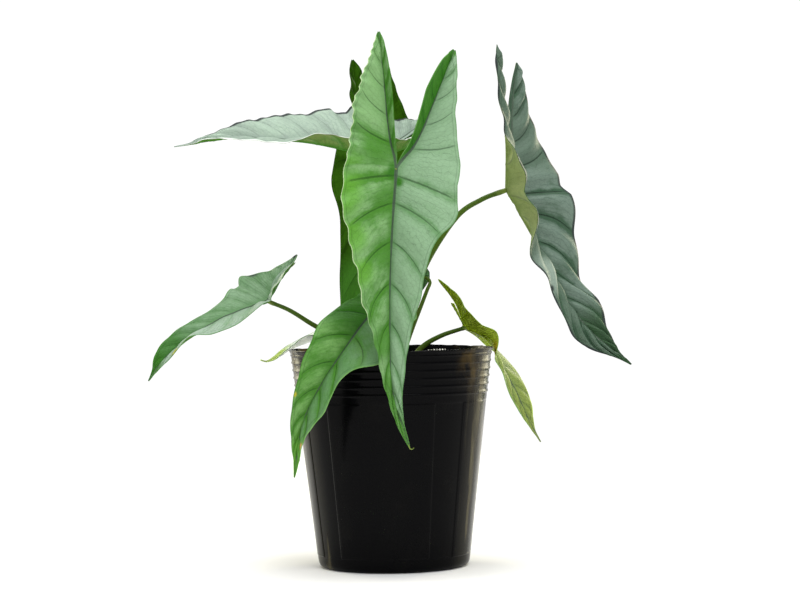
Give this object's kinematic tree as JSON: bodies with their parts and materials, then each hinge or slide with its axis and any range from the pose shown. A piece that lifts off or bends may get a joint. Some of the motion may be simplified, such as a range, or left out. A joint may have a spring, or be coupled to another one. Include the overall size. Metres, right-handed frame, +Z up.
{
  "type": "potted dragons breath alocasia",
  "caption": "Aroid house plant with long arrow-shaped silvery green leaves on slender stalks, growing from potting mix in a tall black ribbed nursery pot.",
  "frame": {"origin": "centre of the pot's flat base, on the surface that the pot stands on", "axes": "+Z up along the pot's axis; -Y is the front, where the largest leaf shows its upper face; +X is to the right of someone looking at the front"},
  "size_m": [0.3524, 0.2201, 0.3895],
  "materials": {
    "pot": "glossy moulded black plastic with dried mineral stains",
    "potting_mix": "matt crumbly bark and peat mix",
    "stem": "matt fibrous old leaf sheaths",
    "petiole": "smooth satin plant stalk",
    "leaf_fresh_green": "satin leaf, vivid green to silvery, dark veins",
    "leaf_dark_green": "satin dark green underside",
    "leaf_silver_green": "satin silvery green with dark veins",
    "leaf_pale_green": "satin pale yellowish green"
  },
  "bodies": {
    "root": {"pot": "pot", "potting_mix": "potting_mix", "stem_base": "stem", "petiole_front": "petiole", "petiole_back": "petiole", "petiole_upper_left": "petiole", "petiole_lower_front": "petiole", "petiole_right": "petiole", "petiole_left": "petiole", "petiole_back_left": "petiole", "petiole_low_right": "petiole", "petiole_inner": "petiole", "blade_front": "leaf_fresh_green", "blade_back": "leaf_dark_green", "blade_upper_left": "leaf_silver_green", "blade_lower_front": "leaf_fresh_green", "blade_right": "leaf_silver_green", "blade_left": "leaf_silver_green", "blade_back_left": "leaf_pale_green", "blade_low_right": "leaf_pale_green", "blade_inner": "leaf_silver_green"}
  },
  "joints": []
}
